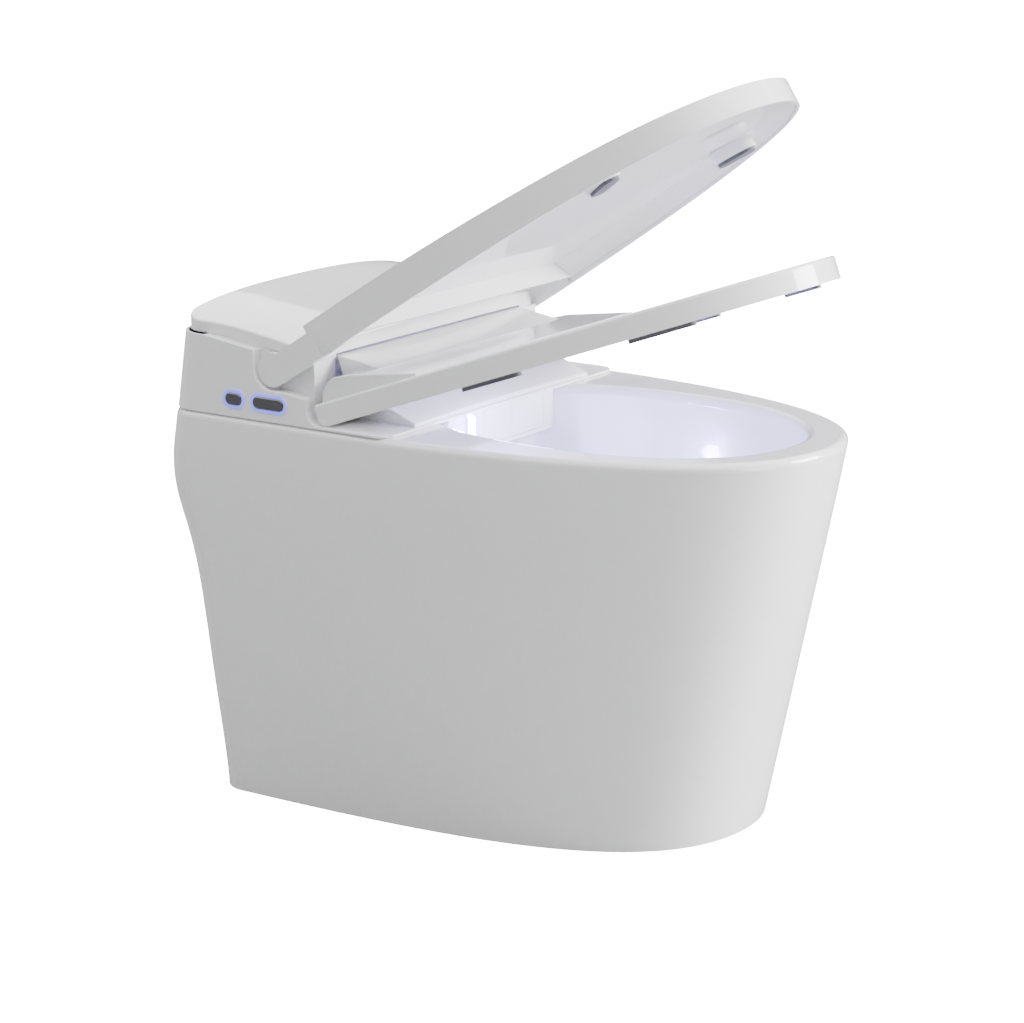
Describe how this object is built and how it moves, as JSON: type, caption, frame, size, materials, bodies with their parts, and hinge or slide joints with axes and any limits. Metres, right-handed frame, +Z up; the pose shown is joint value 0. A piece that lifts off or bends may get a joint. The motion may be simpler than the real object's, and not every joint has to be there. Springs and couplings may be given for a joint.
{
  "type": "smart toilet",
  "caption": "Floor-standing one-piece smart toilet with skirted china body, powered lid, heated seat, wash wand and side keys.",
  "frame": {"origin": "centre of the overall box in plan, on the floor", "axes": "+Z up, -Y the front, the side keys on -X"},
  "size_m": [0.4108, 0.6465, 0.7365],
  "materials": {
    "china": "white glaze",
    "housing_white": "gloss white",
    "cover_white": "high gloss white",
    "liner_white": "gloss white",
    "seat_white": "gloss white",
    "buffer_grey": "matt grey rubber",
    "key_metal": "dark brushed metal",
    "ring_light": "frosted light guide",
    "lens_light": "frosted lens",
    "board_green": "solder mask",
    "steel": "plated steel",
    "fitting_brass": "turned brass",
    "moulded_grey": "plain moulding",
    "filter_black": "carbon block",
    "hose_grey": "silicone hose",
    "heater_film": "heating film",
    "wand_steel": "polished"
  },
  "bodies": {
    "root": {"ceramic_body": "china", "drain_seal": "buffer_grey", "housing_shell": "housing_white", "front_apron": "housing_white", "top_cover": "cover_white", "wand_guide": "moulded_grey", "light_ring_small": "ring_light", "light_ring_large": "ring_light", "night_light": "lens_light", "night_light_board": "board_green", "control_board": "board_green", "board_screws": "steel", "power_supply": "moulded_grey", "water_heater": "moulded_grey", "inlet_valve": "moulded_grey", "inlet_fitting": "fitting_brass", "supply_hose": "hose_grey", "wash_hose": "hose_grey", "flush_tank": "moulded_grey", "flush_pump": "moulded_grey", "flush_hose": "hose_grey", "deodoriser_fan": "moulded_grey", "carbon_filter": "filter_black", "dryer_fan": "moulded_grey", "dryer_duct": "moulded_grey", "wand_motor": "moulded_grey", "lid_gear_motor": "moulded_grey", "lid_damper": "moulded_grey", "seat_gear_motor": "moulded_grey", "seat_damper": "moulded_grey", "housing_bolts": "steel", "power_gland": "moulded_grey"},
    "lid_drive": {"lid_drive_shafts": "steel"},
    "lid": {"lid_shell": "cover_white", "lid_liner": "liner_white", "lid_buffers": "buffer_grey"},
    "seat": {"seat_shell": "seat_white", "seat_underplate": "seat_white", "seat_heater": "heater_film", "seat_buffers": "buffer_grey", "seat_hinge_pins": "steel"},
    "wand": {"wash_wand": "wand_steel", "wand_tip": "wand_steel"},
    "door": {"wand_door": "housing_white"},
    "flap": {"vent_flap": "housing_white"},
    "key_small": {"button_small": "key_metal"},
    "key_large": {"button_large": "key_metal"}
  },
  "joints": [
    {"name": "seat_hinge", "type": "hinge", "parent": "root", "child": "seat", "pos_m": [0, 0.12, 0.43], "axis": [-1, 0, 0], "range_deg": [-19.64, 55.4]},
    {"name": "lid_drive_turn", "type": "hinge", "parent": "root", "child": "lid_drive", "pos_m": [0, 0.183, 0.4455], "axis": [-1, 0, 0], "range_deg": [-19.64, 55.4]},
    {"name": "lid_hinge", "type": "hinge", "parent": "lid_drive", "child": "lid", "pos_m": [0, 0.183, 0.4455], "axis": [-1, 0, 0], "range_deg": [-9, 6.5]},
    {"name": "wand_slide", "type": "slide", "parent": "root", "child": "wand", "axis": [0, -0.9511, -0.309], "range_m": [0, 0.085]},
    {"name": "door_hinge", "type": "hinge", "parent": "root", "child": "door", "pos_m": [-0.008, 0.0527, 0.3898], "axis": [-1, 0, 0], "range_deg": [0, 80]},
    {"name": "flap_hinge", "type": "hinge", "parent": "root", "child": "flap", "pos_m": [0.047, 0.0532, 0.374], "axis": [-1, 0, 0], "range_deg": [0, 35]},
    {"name": "key_small_press", "type": "slide", "parent": "root", "child": "key_small", "axis": [1, 0, 0], "range_m": [0, 0.0012], "stiffness_N_per_m": 800},
    {"name": "key_large_press", "type": "slide", "parent": "root", "child": "key_large", "axis": [1, 0, 0], "range_m": [0, 0.0012], "stiffness_N_per_m": 800}
  ],
  "couplings": [
    {"joint": "lid_drive_turn", "follows": "seat_hinge", "ratio": 1},
    {"joint": "door_hinge", "follows": "wand_slide", "rad_per_m": 16.42}
  ]
}
